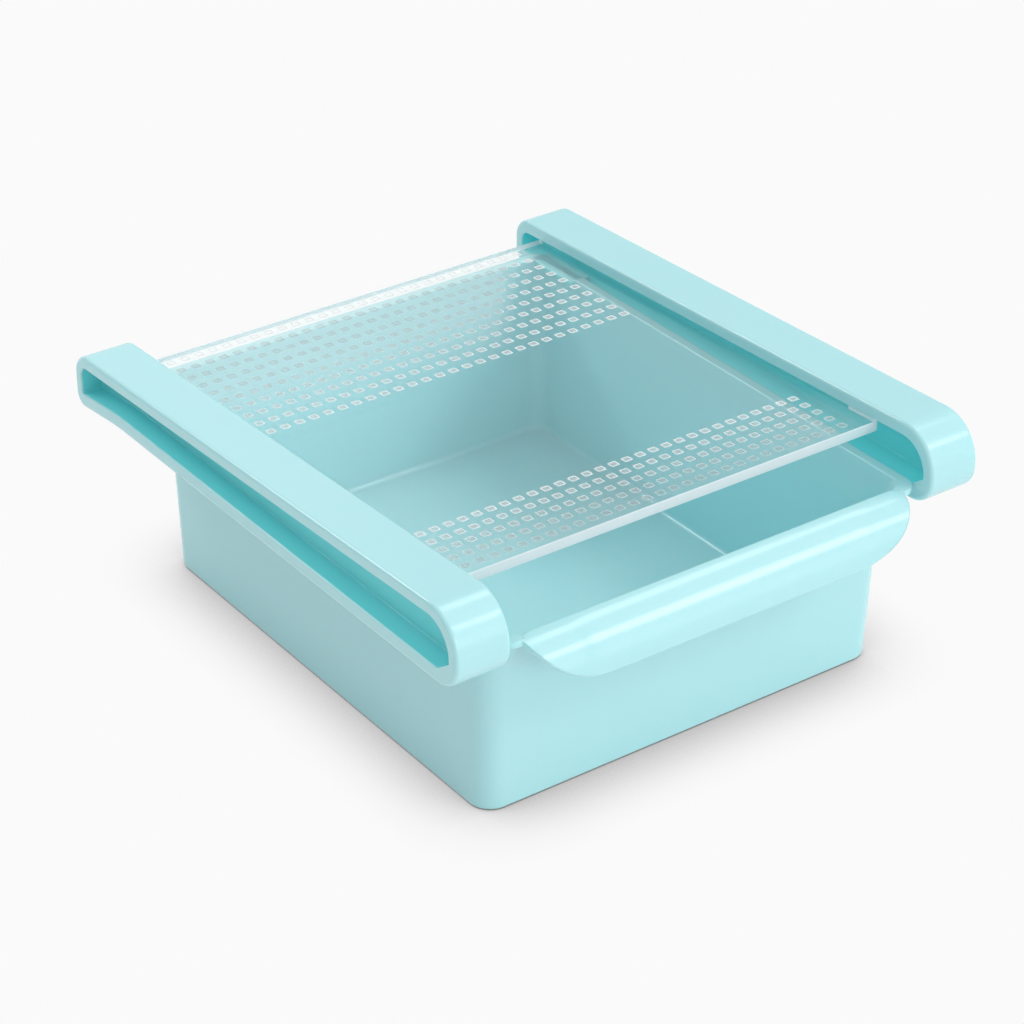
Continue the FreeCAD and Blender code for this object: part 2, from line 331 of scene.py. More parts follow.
teal, tree, shader = new_material("teal_plastic")
# The attribute paints shade into the channels.
attribute = tree.nodes.new("ShaderNodeAttribute")
attribute.attribute_name = "painted_shade"
painted_shade = attribute.outputs["Fac"]
drift = mottled(tree, 9.0, 1.0)
tone = blend_colours(tree, painted_shade, blend_colours(tree, drift, *LIT_TONE),
                     blend_colours(tree, drift, *PAINTED_SHADE_TONE))
tree.links.new(tone, shader.inputs["Base Color"])
gloss = between(tree, mottled(tree, 600.0, 2.0), 0.15, 0.20)
tree.links.new(gloss, shader.inputs["Roughness"])
shader.inputs["IOR"].default_value = 1.49
shader.inputs["Subsurface Weight"].default_value = 0.15
shader.inputs["Subsurface Radius"].default_value = (0.0012, 0.0030, 0.0032)
shader.inputs["Subsurface Scale"].default_value = 1.0
shader.inputs["Emission Strength"].default_value = 1.0
# Painted glow where the attribute passes 1, in the inner channels.
painted_glow = blend_colours(tree, between(tree, painted_shade, 0.0, 1.0, 1.0, 2.0), NO_GLOW, PAINTED_WEB_GLOW)
tree.links.new(painted_glow, shader.inputs["Emission Color"])
bump = tree.nodes.new("ShaderNodeBump")
bump.inputs["Strength"].default_value = BUMP_STRENGTH
bump.inputs["Distance"].default_value = BUMP_HEIGHT
tree.links.new(mottled(tree, 700.0, 1.0, 0.0, 1.0), bump.inputs["Height"])
tree.links.new(bump.outputs["Normal"], shader.inputs["Normal"])
print("teal plastic has", len(tree.nodes), "nodes")

# %% [markdown]
# ## Rails
# Seen from the side a rail is a closed wedge: its upper bar slopes down to the rear, its lower
# bar is level and droops a little at the heel. From the front it is an H: a thin web with an open
# channel on each side. Cutting the channels out of a block would leave ragged edges to round.
# Instead the rings run from the web out through one channel, round the outside and back into the
# other channel, so that every edge has its own rounding.

# %% Side outlines of a rail
ARC, LONG, SHORT, CUT = 20, 40, 8, 6              # steps on an arc, on the sides and on a cut
rail_corners = [(RAIL_FRONT, RAIL_BOTTOM), (RAIL_REAR - HEEL_LENGTH, RAIL_BOTTOM),
                (RAIL_REAR, RAIL_BOTTOM - HEEL_DROP), (RAIL_REAR, RAIL_BOTTOM + RAIL_REAR_HEIGHT),
                (RAIL_FRONT, RAIL_BOTTOM + RAIL_FRONT_HEIGHT)]
OUTER_RADII = [8.0, 90.0, 4.0, 6.5, 12.0]
CHANNEL_RADII = [0.8, 0.8, 94.2, 0.8, 3.1, 8.6]
END_BAR, LOWER_BAR, PANEL_BAR = 3.4, 4.2, 3.85
CUT_HEIGHT, CUT_LENGTH = 3.6, 5.0                 # the channel's straight lower front corner


def inset_corners(corners, distances):
    """Move side k of an anticlockwise polygon inwards by distances[k].

    Each corner slides along both of its sides by the other side's distance / sin(turn).
    """
    corners = np.asarray(corners, float)
    moved = []
    for k, corner in enumerate(corners):
        into = unit(corner - corners[k - 1])
        out = unit(corners[(k + 1) % len(corners)] - corner)
        turn = into[0] * out[1] - into[1] * out[0]
        moved.append(corner + (out * distances[k - 1] - into * distances[k]) / turn)
    return np.array(moved)


def rail_outline():
    """The outside, with steps on its lower front arc to match the channel's cut corner."""
    return rounded_outline(rail_corners, OUTER_RADII, [2 * CUT + SHORT, ARC, ARC, ARC, ARC],
                           [LONG, SHORT, SHORT, LONG, SHORT])


def channel_outline(top_bar):
    """The edge of a channel: the outside moved inwards by the bars, with a straight cut."""
    front, heel, rear, rear_top, front_top = inset_corners(
        rail_corners, [LOWER_BAR, LOWER_BAR, END_BAR, top_bar, END_BAR])
    corners = [front + [0, CUT_HEIGHT], front + [CUT_LENGTH, 0], heel, rear, rear_top, front_top]
    return rounded_outline(corners, CHANNEL_RADII, [CUT, CUT, ARC, ARC, ARC, ARC],
                           [SHORT, LONG, SHORT, SHORT, LONG, SHORT])


print("points round the rail and its channel:", len(rail_outline()[0]),
      len(channel_outline(END_BAR)[0]))

# %% The rings of a rail
OUTER_CHANNEL, WEB = 6.4, 1.4                     # depth of the outer channel, and the web
RAIL_EDGE, ROOT, MOUTH = 1.2, 0.4, 0.45           # radii: outside, channel's root and mouth
MARGIN = 0.06                                     # strip of a flat beside its rounding
ROOT_STEPS, MOUTH_STEPS, EDGE_STEPS = 5, 6, 9


def quarter(steps):
    """Angles of a quarter turn."""
    return np.linspace(0, math.pi / 2, steps)


def side_ring(x, outline, normal, outwards=0.0):
    """A side outline at a distance x from the middle, grown by a number of millimetres."""
    moved = outline + normal * outwards
    return np.column_stack([np.full(len(moved), x), moved])


def channel_rings(face, web, top_bar):
    """Rings from the web out to just before the face, with a quarter round at each end."""
    line, normal = channel_outline(top_bar)
    side = 1.0 if face > web else -1.0
    rings = [side_ring(web, line, normal, -ROOT - MARGIN)]
    for angle in quarter(ROOT_STEPS):
        rings.append(side_ring(web + side * ROOT * (1 - math.cos(angle)), line, normal,
                               -ROOT * (1 - math.sin(angle))))
    rings.append(side_ring(web + side * (ROOT + MARGIN), line, normal))
    rings.append(side_ring(face - side * (MOUTH + MARGIN), line, normal))
    for angle in quarter(MOUTH_STEPS):
        rings.append(side_ring(face - side * MOUTH * (1 - math.sin(angle)), line, normal,
                               MOUTH * (1 - math.cos(angle))))
    rings.append(side_ring(face, line, normal, MOUTH + MARGIN))
    return rings


def outside_rings():
    """Rings from the inner face round the outside of the bars to the outer face."""
    line, normal = rail_outline()
    rings = [side_ring(RAIL_INNER, line, normal, -RAIL_EDGE - MARGIN)]
    for angle in quarter(EDGE_STEPS):
        rings.append(side_ring(RAIL_INNER + RAIL_EDGE * (1 - math.cos(angle)), line, normal,
                               -RAIL_EDGE * (1 - math.sin(angle))))
    rings.append(side_ring(RAIL_INNER + RAIL_EDGE + MARGIN, line, normal))
    rings.append(side_ring(RAIL_OUTER - RAIL_EDGE - MARGIN, line, normal))
    for angle in quarter(EDGE_STEPS):
        rings.append(side_ring(RAIL_OUTER - RAIL_EDGE * (1 - math.sin(angle)), line, normal,
                               -RAIL_EDGE * (1 - math.cos(angle))))
    rings.append(side_ring(RAIL_OUTER, line, normal, -RAIL_EDGE - MARGIN))
    return rings


def rail_part():
    """The closed mesh of the right rail and each point's value of painted shade."""
    web_outer = RAIL_OUTER - OUTER_CHANNEL
    web_inner = web_outer - WEB
    inner = channel_rings(RAIL_INNER, web_inner, PANEL_BAR)
    outer = channel_rings(RAIL_OUTER, web_outer, END_BAR)
    rings = inner + outside_rings()
    at_mouth = MOUTH_STEPS + 1
    # Painted shade: 2, with a painted glow, in the inner channel, and 1 in the outer one.
    depth = np.zeros((len(rings) + len(outer), len(inner[0])))
    depth[:len(inner) - at_mouth] = 2.0           # up to the rounded mouth of the inner channel
    depth[len(rings) + at_mouth:] = 1.0           # and past the mouth of the outer one
    return stack_mesh(rings + outer[::-1]), depth.ravel()


# %% [markdown]
# The bin's rim runs on a ledge along the rail's lower bar. The bars of a moulded rail are wide
# enough to carry it, so the ledge is a plain box with cut edges on the inner face.

# %% Both rails
LEDGE_TOP, LEDGE_EDGE, LEDGE_OVERLAP = 55.2, 0.25, 1.0
LEDGE_FROM_FRONT, LEDGE_FROM_REAR = 11, 10
ledge = bevelled_box((rail_low[0], RAIL_FRONT + LEDGE_FROM_FRONT, RAIL_BOTTOM),
                     (RAIL_INNER + LEDGE_OVERLAP, RAIL_REAR - LEDGE_FROM_REAR, LEDGE_TOP),
                     LEDGE_EDGE)
rail, rail_shade = rail_part()
rail_shade = np.concatenate([rail_shade, np.zeros(len(ledge[0]))])
right_part = join(rail, ledge)
right_rail = make_object("right_rail_moulding", right_part, teal, depth=rail_shade)
left_rail = make_object("left_rail_moulding", mirrored(right_part), teal, depth=rail_shade)
for piece, node in ((right_rail, "right_rail"), (left_rail, "left_rail")):
    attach(piece, "frame")
    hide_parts(node)

# %% [markdown]
# ## Drawer bin
# The bin is one thin moulding. Its walls lean outwards a little so that it leaves its mould, and
# the front wall flares out to the rim. A box given a thickness would be quicker, but the lip grows
# out of the rim and needs the same points. So the rings follow the section of the wall: up the
# outside, round the rim flange and down the inside.

# %% Sizes of the bin
BIN_TOP = 57.2
BIN_FRONT = RAIL_FRONT + 15.2
BIN_REAR = BIN_FRONT + 151.6
RIM_HALF = RAIL_INNER - 1.7                       # outside of the side wall at the rim
RIM_FRONT = RAIL_FRONT + 6.5                      # inner edge of the front rim
SIDE_LEAN, FRONT_LEAN, REAR_LEAN = (math.tan(math.radians(a)) for a in (0.6, 2.9, 2.4))
FLARE_START = 34.0
WALL, FLOOR, CORNER = 1.9, 2.0, 6.5
FLANGE_HALF = RAIL_INNER - 0.3
FLANGE_FRONT = RAIL_FRONT + 3.7
FLANGE_REAR = BIN_REAR + BIN_TOP * REAR_LEAN + 1.4
FLANGE_THICK, FLANGE_CORNER = 1.8, 5.0
FLANGE_BOTTOM = BIN_TOP - FLANGE_THICK


def front_wall(height):
    """Outside of the front wall: drafted, then tangent to an arc that ends at the rim.

    The radius is chord squared / (2 * chord along the direction to the centre).
    """
    if height <= FLARE_START:
        return BIN_FRONT - height * FRONT_LEAN
    start = np.array([BIN_FRONT - FLARE_START * FRONT_LEAN, FLARE_START])
    rim = np.array([RIM_FRONT - WALL, BIN_TOP])
    chord = rim - start
    to_centre = np.array([-1.0, -FRONT_LEAN]) / math.hypot(1, FRONT_LEAN)
    radius = chord @ chord / (2 * chord @ to_centre)
    centre = start + to_centre * radius
    return centre[0] + math.sqrt(radius ** 2 - (height - centre[1]) ** 2)


print("front wall at the floor, at the flare and at the rim:",
      [round(front_wall(z), 2) for z in (0, FLARE_START, BIN_TOP)])

# %% Level outlines of the bin
FRONT_STEPS, SIDE_STEPS, REAR_STEPS, BIN_ARC = 150, 40, 60, 16
EVEN_SHARE, BUNCHED_SHARE = 0.45, 0.55
even = np.linspace(-1, 1, FRONT_STEPS + 1)
front_spacing = (EVEN_SHARE * even + BUNCHED_SHARE * np.sin(even * math.pi / 2) + 1) / 2


def level_outline(half, front, rear, radius):
    """A rounded rectangle whose front side has its points bunched towards the lip's ends."""
    corners = [(-half, front), (half, front), (half, rear), (-half, rear)]
    return rounded_outline(corners, [radius] * 4, [BIN_ARC] * 4,
                           [FRONT_STEPS, SIDE_STEPS, REAR_STEPS, SIDE_STEPS], front_spacing)


def wall_outline(height, wall):
    """Outline of the bin's walls at a height, moved inwards by a wall."""
    radius = max(CORNER - wall, 0.6)
    half = RIM_HALF - (BIN_TOP - height) * SIDE_LEAN - wall
    return level_outline(half, front_wall(height) + wall, BIN_REAR + height * REAR_LEAN - wall,
                         radius)


print("points round the bin:", len(wall_outline(0, 0)[0]))

# %% [markdown]
# ## Pull lip
# Along the front the rim is drawn out into the pull lip: a quarter-round roll of the same sheet
# that runs on a little way straight down. Seen from the front it is cut off with slanting sides
# and a large round corner at each end. Modelling it as a piece of its own would leave a seam, so
# the rings of the rim are worked out twice, as a plain flange and as the roll, and blended.

# %% The lip's section and its cut
LIP_ROLL, LIP_DROP, LIP_THICK = 10.8, 12.7, 1.8
LIP_ROOT = RAIL_FRONT + 6.2
LIP_HALF = FLANGE_HALF - 5.1
LIP_SLANT = math.radians(50)
LIP_CORNER = 24.0
LIP_EDGE = 0.7                                    # radius of the roll's cut edge


def lip_depth(x):
    """How far below the rim the lip is cut: a 50 degree side, an arc of 24 mm, then level."""
    side = (LIP_HALF - np.abs(x)) * math.tan(LIP_SLANT)
    arc_end = LIP_HALF - LIP_DROP / math.tan(LIP_SLANT) - LIP_CORNER * math.tan(LIP_SLANT / 2)
    past = np.abs(x) - arc_end
    arc = LIP_DROP - LIP_CORNER + np.sqrt(np.clip(LIP_CORNER ** 2 - past.clip(0) ** 2, 0, None))
    on_arc = past < LIP_CORNER * math.sin(LIP_SLANT)
    return np.where(past < 0, LIP_DROP, np.where(on_arc, arc, side))


def lip_shell(angle, depth, inward):
    """Points of the roll at an angle from its crest, at a depth of the shell below its outside."""
    radius = LIP_ROLL - inward
    y = LIP_ROOT - radius * np.sin(angle)
    z = BIN_TOP - LIP_ROLL + radius * np.cos(angle) - depth
    return y, z


print("lip cut at x = 0, 50 and 60:", lip_depth(np.array([0.0, 50.0, 60.0])).round(2))

# %% Rings round the rim
UNDER, EDGE, OVER = 22, 14, 34                    # rings below the rim, on its edge and above
RIM_EDGE = 0.4
LOWER_EDGE, UPPER_EDGE = 0.35, 0.6                # radii of the flange's edge
LOWER_SHARE = 0.4                                 # of the edge's rings are on its lower radius


def with_height(outline, z):
    return np.column_stack([outline, np.broadcast_to(z, len(outline))])


def flange_rings(root, edge, normal, inner):
    """Out along the flange's underside, round its two edge radii and back over its top."""
    rings = []
    for share in np.arange(UNDER) / UNDER:
        rings.append(with_height(root * (1 - share) + (edge - normal * LOWER_EDGE) * share,
                                 FLANGE_BOTTOM))
    for share in np.arange(EDGE + 1) / EDGE:
        if share < LOWER_SHARE:
            angle = share / LOWER_SHARE * math.pi / 2
            rings.append(with_height(edge - normal * LOWER_EDGE * (1 - math.sin(angle)),
                                     FLANGE_BOTTOM + LOWER_EDGE * (1 - math.cos(angle))))
        else:
            angle = (share - LOWER_SHARE) / (1 - LOWER_SHARE) * math.pi / 2
            rings.append(with_height(edge - normal * UPPER_EDGE * (1 - math.cos(angle)),
                                     BIN_TOP - UPPER_EDGE + UPPER_EDGE * math.sin(angle)))
    start = edge - normal * UPPER_EDGE
    for share in np.arange(1, OVER + 1) / OVER:
        rings.append(with_height(start * (1 - share) + inner * share, BIN_TOP))
    return rings


def lip_rings(root, edge, inner):
    """Down the inside of the roll, round its cut edge and back up its outside to the rim.

    The roll turns by arccos(1 - depth / radius), and what is left of the depth hangs straight.
    """
    rings = []
    depth = lip_depth(edge[:, 0])
    shortest = math.asin((LIP_ROOT - FLANGE_FRONT) / LIP_ROLL)
    last = np.arccos(np.clip(1 - depth / LIP_ROLL, 0, 1)).clip(shortest)
    hang = (depth - LIP_ROLL).clip(0)
    straight = (hang - LIP_EDGE).clip(0)

    def add(share, y, z):
        """Points keep the x of the wall at the root and of the flange at the edge."""
        x = root[:, 0] * (1 - share) + edge[:, 0] * share
        rings.append(with_height(np.column_stack([x, y]), z))

    for share in np.arange(UNDER) / UNDER:
        if share < 0.25:                          # from the wall to the roll's root
            way = share / 0.25
            y, _ = lip_shell(0.0, 0.0, LIP_THICK)
            add(way * 0.3, root[:, 1] * (1 - way) + y * way, FLANGE_BOTTOM)
        else:
            way = (share - 0.25) / 0.75
            add(0.3 + 0.7 * way, *lip_shell(last * way, straight * way, LIP_THICK))
    outside_y, outside_z = lip_shell(last, hang, 0.0)
    inside_y, inside_z = lip_shell(last, hang, LIP_THICK)
    for share in np.arange(EDGE + 1) / EDGE:
        angle = abs(share - 0.5) * math.pi        # from the middle of the cut edge
        sink = LIP_EDGE * (1 - math.cos(angle))   # how far the rounded edge draws back
        out = 0.5 - LIP_EDGE / LIP_THICK * (1 - math.sin(angle))
        across = 0.5 + math.copysign(out, share - 0.5) if angle else 0.5
        add(1.0, inside_y * (1 - across) + outside_y * across + np.cos(last) * sink,
            inside_z * (1 - across) + outside_z * across + np.sin(last) * sink)
    crest = np.column_stack([edge[:, 0], np.full(len(edge), LIP_ROOT)])
    for share in np.arange(1, OVER + 1) / OVER:
        if share < 0.9:
            way = 1 - share / 0.9
            add(1.0, *lip_shell(last * way, straight * way, 0.0))
        else:                                     # from the crest to the rim's inner edge
            way = (share - 0.9) / 0.1
            rings.append(with_height(crest * (1 - way) + inner * way, BIN_TOP))
    return rings


def rim_rings():
    """The flange, blended into the lip by a smooth step over 0.9 mm at each of its ends."""
    root, _ = wall_outline(FLANGE_BOTTOM, 0.0)
    edge, normal = level_outline(FLANGE_HALF, FLANGE_FRONT, FLANGE_REAR, FLANGE_CORNER)
    inner, inner_normal = wall_outline(BIN_TOP, WALL)
    inner = inner + inner_normal * RIM_EDGE
    off_middle = np.abs(edge[:, 0])
    front = (off_middle < LIP_HALF + 1) & (edge[:, 1] < FLANGE_FRONT + 3)
    weight = np.clip((LIP_HALF - 0.3 - off_middle) / 0.9, 0, 1)
    weight = (weight * weight * (3 - 2 * weight) * front)[:, None]
    pairs = zip(flange_rings(root, edge, normal, inner), lip_rings(root, edge, inner))
    return [flange * (1 - weight) + lip * weight for flange, lip in pairs]


# %% The whole bin
FOOT, FILLET, FLANGE_ROOT = 1.2, 1.5, 0.4         # radii under the floor, on it, at the flange
LOW_OUTSIDE, LOW_INSIDE = [6, 14, 22, 30], [26, 18, 10]


def wall_ring(height, wall, shift=0.0, z=None):
    """The walls at a height, moved inwards by a wall and outwards by a shift."""
    outline, normal = wall_outline(height, wall)
    return with_height(outline + normal * shift, height if z is None else z)


def bin_part():
    """Rings up the outside of the walls, round the rim and down the inside to the floor."""
    rings = [wall_ring(0, 0, -FOOT - 0.1)]
    for angle in quarter(8):
        rings.append(wall_ring(FOOT * (1 - math.cos(angle)), 0, -FOOT * (1 - math.sin(angle))))
    flare = np.linspace(FLARE_START, FLANGE_BOTTOM - 0.6, 16)
    for height in [FOOT + 0.1] + LOW_OUTSIDE + list(flare):
        rings.append(wall_ring(height, 0))
    for angle in np.linspace(0.3, math.pi / 2, 4):
        rings.append(wall_ring(FLANGE_BOTTOM, 0, FLANGE_ROOT * (1 - math.cos(angle)),
                               FLANGE_BOTTOM - FLANGE_ROOT * (1 - math.sin(angle)) - 0.02))
    rings += rim_rings()
    for angle in np.linspace(0.2, math.pi / 2, 6):
        rings.append(wall_ring(BIN_TOP, WALL, RIM_EDGE * (1 - math.sin(angle)),
                               BIN_TOP - RIM_EDGE * (1 - math.cos(angle))))
    flare = np.linspace(BIN_TOP - 0.6, FLARE_START, 16)
    for height in list(flare) + LOW_INSIDE + [FLOOR + FILLET + 0.1]:
        rings.append(wall_ring(height, WALL))
    for angle in quarter(10):
        rings.append(wall_ring(FLOOR + FILLET * (1 - math.sin(angle)), WALL,
                               -FILLET * (1 - math.cos(angle))))
    rings.append(wall_ring(FLOOR, WALL, -FILLET - 0.1))
    return stack_mesh(rings)


# %% [markdown]
# Two small lugs at the rear of the flange reach into the rails' inner channels and stop the
# drawer at both ends of its travel. They are boxes with cut edges, sunk into the flange. As they
# lie in the channels' shade, they carry a little painted shade.

# %% Lugs and the finished drawer
# The last size is the lugs' share of painted shade.
LUG_LENGTH, LUG_SUNK, LUG_GAP, LUG_EDGE, LUG_SHADE = 20, 5, 2.0, 0.4, 0.6
lug_rear = FLANGE_REAR - LUG_GAP
lug = bevelled_box((FLANGE_HALF - LUG_SUNK, lug_rear - LUG_LENGTH, FLANGE_BOTTOM),
                   (bin_high[0], lug_rear, BIN_TOP), LUG_EDGE)
body = bin_part()
bin_shade = np.repeat([0.0, LUG_SHADE], [len(body[0]), 2 * len(lug[0])])
drawer = make_object("bin_moulding", join(body, lug, mirrored(lug)), teal, depth=bin_shade)
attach(drawer, "drawer")
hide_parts("drawer_bin")

# %% [markdown]
# ## Clear panel
# The panel is a 3 mm clear sheet that slopes with the upper bars. Two bands on it are lightly
# frosted and carry rows of small raised square outlines. A picture of squares on the sheet would
# stay flat from the side, so the squares are low rings of their own, and the frost is a thin skin
# that also carries a painted reflection over the rear left.

# %% How a clear piece treats light
def let_light_through(tree, shader, seen, unseen=0.1):
    """Cover for the camera and mirrors, thinner for shadow and scattered rays.

    The cover for the camera is a number or the output of a node.
    """
    path = tree.nodes.new("ShaderNodeLightPath")
    scattered = combine(tree, "MAXIMUM", path.outputs["Is Shadow Ray"],
                        path.outputs["Is Diffuse Ray"])
    cover = tree.nodes.new("ShaderNodeMix")
    tree.links.new(scattered, cover.inputs["Factor"])
    cover.inputs["B"].default_value = unseen
    if isinstance(seen, float):
        cover.inputs["A"].default_value = seen
    else:
        tree.links.new(seen, cover.inputs["A"])
    tree.links.new(cover.outputs["Result"], shader.inputs["Alpha"])


# %% Clear sheet and its cut edge
clear, tree, shader = new_material("clear_panel")
haze = mottled(tree, 250.0, 2.0)
tree.links.new(blend_colours(tree, haze, (0.955, 0.995, 0.995), (0.965, 1.0, 1.0)),
               shader.inputs["Base Color"])
tree.links.new(between(tree, haze, 0.015, 0.03), shader.inputs["Roughness"])
shader.inputs["Transmission Weight"].default_value = 0.985
shader.inputs["IOR"].default_value = 1.25
let_light_through(tree, shader, 1.0, 0.0)

cut_edge, tree, shader = new_material("frosted_edge")
haze = mottled(tree, 150.0, 2.0)
tree.links.new(blend_colours(tree, haze, (0.78, 0.89, 0.92), (0.84, 0.93, 0.96)),
               shader.inputs["Base Color"])
shader.inputs["Roughness"].default_value = 0.4
shader.inputs["Transmission Weight"].default_value = 0.25
let_light_through(tree, shader, 1.0)
print("clear materials:", clear.name, cut_edge.name)

# %% [markdown]
# ## Frost and painted reflection
# The milky skin is weak frost along the front edge. Over the rear left, behind a slanting border,
# it is densest: a painted reflection of a pale card. It thins out towards the clear middle. The
# squares need the same pattern the other way round, strong beside the clear middle, so it is a
# node group: smooth steps along the panel and across a slanting border. Painting it on the
# corners of the mesh would need far more of them.

# %% The group of the milky bands
FRONT_BAND = RAIL_FRONT + 52.0, RAIL_FRONT + 22.0  # from clear to milky
REAR_BAND = RAIL_FRONT + 108.0, RAIL_FRONT + 150.0
# The slanting border of the painted reflection over the rear left.
BORDER, BORDER_SLANT = (1.0, -9.0), -0.72


def smooth_rise(tree, value, start, end, low=0.0, high=1.0):
    """Low up to the start, high past the end, and an S curve between."""
    step = tree.nodes.new("ShaderNodeMapRange")
    step.interpolation_type = "SMOOTHSTEP"
    step.inputs["From Min"].default_value = start
    step.inputs["From Max"].default_value = end
    step.inputs["To Min"].default_value = low
    step.inputs["To Max"].default_value = high
    tree.links.new(value, step.inputs["Value"])
    return step.outputs["Result"]


def along(tree, place, direction):
    """Dot product of a place and a direction."""
    dot = tree.nodes.new("ShaderNodeVectorMath")
    dot.operation = "DOT_PRODUCT"
    dot.inputs[1].default_value = direction
    tree.links.new(place, dot.inputs[0])
    return dot.outputs["Value"]


bands, given, result = new_group("frost_and_reflection_bands", {"Front Share": 1.0}, "Milkiness")
place = bands.nodes.new("ShaderNodeTexCoord").outputs["Object"]
rearwards = along(bands, place, (0.0, 1.0, 0.0))
rightwards = along(bands, place, (1.0, BORDER_SLANT, 0.0))
front_band = smooth_rise(bands, rearwards, *(value * MM for value in FRONT_BAND))
front_band = combine(bands, "MULTIPLY", front_band, given.outputs["Front Share"])
rear_band = combine(bands, "MULTIPLY",
                    smooth_rise(bands, rearwards, *(value * MM for value in REAR_BAND)),
                    smooth_rise(bands, rightwards, *(value * MM for value in BORDER)))
bands.links.new(combine(bands, "MAXIMUM", front_band, rear_band), result.inputs["Milkiness"])

# %% Frost, painted reflection and squares
frost_and_reflection, tree, shader = new_material("frost_and_painted_reflection")
grain = mottled(tree, 300.0, 2.0, 0.0, 1.0)
tree.links.new(blend_colours(tree, grain, (0.83, 0.91, 0.92), (0.85, 0.93, 0.94)),
               shader.inputs["Base Color"])
shader.inputs["Roughness"].default_value = 0.5
# The skin's cover follows the bands: frost in front, a painted reflection over the rear left.
milky = place_group(tree, bands, {"Front Share": 0.3})
let_light_through(tree, shader, between(tree, milky, 0.005, 0.14), 0.02)


def square_material(name, clearest, faintest):
    """Milky plastic that is strong beside the clear middle and fades where the frost and the painted
    reflection lie.
    """
    material, tree, shader = new_material(name)
    grain = mottled(tree, 500.0, 3.0)
    tone = blend_colours(tree, grain, (0.90, 0.96, 0.97), (0.95, 0.98, 0.99))
    tree.links.new(tone, shader.inputs["Base Color"])
    tree.links.new(between(tree, grain, 0.25, 0.4), shader.inputs["Roughness"])
    milky = place_group(tree, bands, {"Front Share": 0.9})
    let_light_through(tree, shader, between(tree, milky, clearest, faintest), 0.0)
    return material


pearl = square_material("raised_squares", 0.54, 0.12)
pads = square_material("square_pads", 0.18, 0.03)
print("milky materials:", frost_and_reflection.name, pearl.name, pads.name)

# %% [markdown]
# ## The sheet, its skin and its squares
# Everything on the panel is drawn level and then turned down to the rear as one, so that the
# squares stay flat on the sheet whatever its slope.

# %% Panel sheet
PANEL_THICK, PANEL_EDGE, PANEL_CORNER = 3.0, 0.35, 1.5
PANEL_HALF = 67.8
PANEL_FRONT, PANEL_REAR = RAIL_FRONT + 22.1, RAIL_FRONT + 172.1
tilt = math.atan(SLOPE)
CEILING = RAIL_BOTTOM + RAIL_FRONT_HEIGHT - PANEL_BAR / math.cos(tilt)


def on_slope(points):
    """Turn points drawn on a level panel down to the rear, about the rails' front at the ceiling."""
    along = points[..., 1] - RAIL_FRONT
    up = points[..., 2]
    y = RAIL_FRONT + along * math.cos(tilt) + up * math.sin(tilt)
    z = CEILING - along * math.sin(tilt) + up * math.cos(tilt)
    return np.stack([points[..., 0], y, z], -1)


def panel_part():
    """A rounded rectangle carried up through a quarter round, the side and a quarter round."""
    corners = [(-PANEL_HALF, PANEL_FRONT), (PANEL_HALF, PANEL_FRONT),
               (PANEL_HALF, PANEL_REAR), (-PANEL_HALF, PANEL_REAR)]
    outline, normal = rounded_outline(corners, [PANEL_CORNER] * 4, [8] * 4, [40] * 4)
    steps = [(-PANEL_EDGE - 0.1, -PANEL_THICK)]
    for angle in quarter(5):
        steps.append((-PANEL_EDGE * (1 - math.sin(angle)),
                      -PANEL_THICK + PANEL_EDGE * (1 - math.cos(angle))))
    for angle in quarter(5):
        steps.append((-PANEL_EDGE * (1 - math.cos(angle)), -PANEL_EDGE * (1 - math.sin(angle))))
    steps.append((-PANEL_EDGE - 0.1, 0.0))
    rings = [with_height(outline + normal * shift, z) for shift, z in steps]
    return stack_mesh(on_slope(np.array(rings)))


def frost_and_reflection_part():
    """A thin skin just above the sheet that carries the frost of the two bands and the painted
    reflection over the rear left.
    """
    half, front, rear = PANEL_HALF - 1.5, PANEL_FRONT + 0.5, PANEL_REAR - 0.5
    corners = [(-half, front), (half, front), (half, rear), (-half, rear)]
    outline, _ = rounded_outline(corners, [1.2] * 4, [4] * 4, [20] * 4)
    return stack_mesh(on_slope(np.array([with_height(outline, z) for z in (0.005, 0.02)])))


# %% Raised squares
# Half width, half length, corner and height of each level of a square's ring and pad.
RING_LEVELS = [(1.32, 1.22, 0.28, -0.02), (1.26, 1.16, 0.26, 0.10),
               (0.88, 0.78, 0.16, 0.10), (0.82, 0.72, 0.15, -0.02)]
PAD_LEVELS = [(0.9, 0.8, 0.16, 0.025), (0.9, 0.8, 0.16, 0.04)]
# First row behind the rails' front, rows and their pitch, first column, columns and their pitch.
SQUARE_ROWS = [(25.9, 5, 4.9, -61.7, 29, 4.27), (115.6, 10, 5.76, -61.4, 27, 4.48)]


def square_rings(levels):
    """One small rounded rectangle for each level."""
    rings = []
    for half_x, half_y, corner, z in levels:
        corners = [(-half_x, -half_y), (half_x, -half_y), (half_x, half_y), (-half_x, half_y)]
        outline, _ = rounded_outline(corners, [corner] * 4, [1] * 4, [1] * 4)
        rings.append(with_height(outline, z))
    return np.array(rings)


def ring_part():
    """A low closed ring: its levels are joined each to the next and the last to the first."""
    rings = square_rings(RING_LEVELS)
    count, around = rings.shape[:2]
    level = np.arange(count)[:, None]
    points = rings.reshape(-1, 3)
    faces = quads_between(level * around, (level + 1) % count * around, around)
    return points, outward_faces(points, faces)


def square_centres():
    """Five rows along the front of the panel and ten rows along its rear."""
    centres = []
    for first, rows, pitch_y, left, columns, pitch_x in SQUARE_ROWS:
        x, y = np.meshgrid(left + np.arange(columns) * pitch_x,
                           RAIL_FRONT + first + np.arange(rows) * pitch_y)
        centres.append(np.stack([x, y, np.zeros_like(x)], -1).reshape(-1, 3))
    return np.concatenate(centres)


